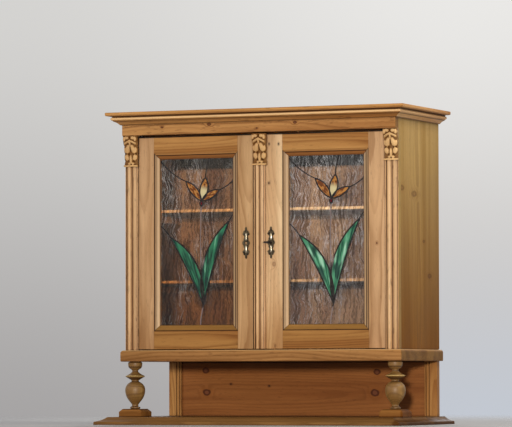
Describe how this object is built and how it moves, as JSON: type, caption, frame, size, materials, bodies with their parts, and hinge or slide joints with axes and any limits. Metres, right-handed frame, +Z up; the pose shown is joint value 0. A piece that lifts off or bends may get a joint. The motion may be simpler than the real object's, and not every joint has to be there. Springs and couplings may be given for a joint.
{
  "type": "kitchen cabinet",
  "caption": "Glazed two-door upper cabinet of a pine kitchen dresser, with leaded lights, cornice and carved capitals, on turned columns over an open niche and its worktop.",
  "frame": {"origin": "centre of the underside of the worktop, which is the bottom centre of the bounding box", "axes": "+Z up, +X to the right of someone facing the doors, front towards -Y"},
  "size_m": [1.152, 0.538, 1.103],
  "materials": {
    "carcass_pine": "waxed stripped pine, satin",
    "door_pine": "waxed stripped pine, satin",
    "turned_pine": "waxed turned pine, satin",
    "carved_pine": "waxed carved pine",
    "back_pine": "dark aged pine",
    "clear_glass": "clear water glass with streaks",
    "amber_glass": "streaky amber art glass",
    "green_glass": "streaky green art glass",
    "lead": "dark patinated lead",
    "old_brass": "dark tarnished brass",
    "brass": "plain brass",
    "iron": "black iron"
  },
  "bodies": {
    "carcass": {"worktop": "carcass_pine", "bottom_board": "carcass_pine", "side_left": "carcass_pine", "side_right": "carcass_pine", "top_board": "carcass_pine", "frieze_rail": "carcass_pine", "cornice_front": "carcass_pine", "cornice_left": "carcass_pine", "cornice_right": "carcass_pine", "pilaster_left": "carcass_pine", "pilaster_right": "carcass_pine", "shelf_lower": "carcass_pine", "shelf_upper": "carcass_pine", "shelf_cleats": "carcass_pine", "plinth_left": "turned_pine", "plinth_right": "turned_pine", "column_left": "turned_pine", "column_right": "turned_pine", "capital_left": "carved_pine", "capital_right": "carved_pine", "back_planks": "back_pine", "niche_panel": "back_pine", "niche_stile_left": "back_pine", "niche_stile_right": "back_pine", "pivot_plates": "brass", "bolt_keepers": "brass"},
    "left_door": {"left_hinge_stile": "door_pine", "left_inner_stile": "door_pine", "left_top_rail": "door_pine", "left_bottom_rail": "door_pine", "left_glazing_moulding": "door_pine", "left_glazing_beads": "door_pine", "left_clear_glass": "clear_glass", "left_petal_glass": "amber_glass", "left_leaf_glass": "green_glass", "left_came": "lead", "left_escutcheon": "old_brass", "left_pivots": "brass", "bolt_straps": "iron", "strike_plate": "iron"},
    "right_door": {"meeting_capital": "carved_pine", "right_hinge_stile": "door_pine", "right_inner_stile": "door_pine", "right_top_rail": "door_pine", "right_bottom_rail": "door_pine", "right_glazing_moulding": "door_pine", "right_glazing_beads": "door_pine", "meeting_strip": "door_pine", "right_clear_glass": "clear_glass", "right_petal_glass": "amber_glass", "right_leaf_glass": "green_glass", "right_came": "lead", "right_escutcheon": "old_brass", "right_pivots": "brass", "lock_case": "iron"},
    "key": {"key": "iron"},
    "lock_bolt": {"lock_bolt": "iron"},
    "upper_bolt": {"upper_bolt": "iron"},
    "lower_bolt": {"lower_bolt": "iron"}
  },
  "joints": [
    {"name": "left_door_swing", "type": "hinge", "parent": "carcass", "child": "left_door", "pos_m": [-0.4595, -0.115, 0.6415], "axis": [0, 0, -1], "range_deg": [0, 95]},
    {"name": "right_door_swing", "type": "hinge", "parent": "carcass", "child": "right_door", "pos_m": [0.4595, -0.115, 0.6415], "axis": [0, 0, 1], "range_deg": [0, 95]},
    {"name": "key_turn", "type": "hinge", "parent": "right_door", "child": "key", "pos_m": [0.042, -0.122, 0.636], "axis": [0, 1, 0], "range_deg": [0, 180]},
    {"name": "lock_bolt_throw", "type": "slide", "parent": "right_door", "child": "lock_bolt", "axis": [-1, 0, 0], "range_m": [0, 0.012]},
    {"name": "upper_bolt_slide", "type": "slide", "parent": "left_door", "child": "upper_bolt", "axis": [0, 0, 1], "range_m": [0, 0.02]},
    {"name": "lower_bolt_slide", "type": "slide", "parent": "left_door", "child": "lower_bolt", "axis": [0, 0, -1], "range_m": [0, 0.02]}
  ],
  "couplings": [
    {"joint": "key_turn", "follows": "lock_bolt_throw", "rad_per_m": 261.8}
  ]
}
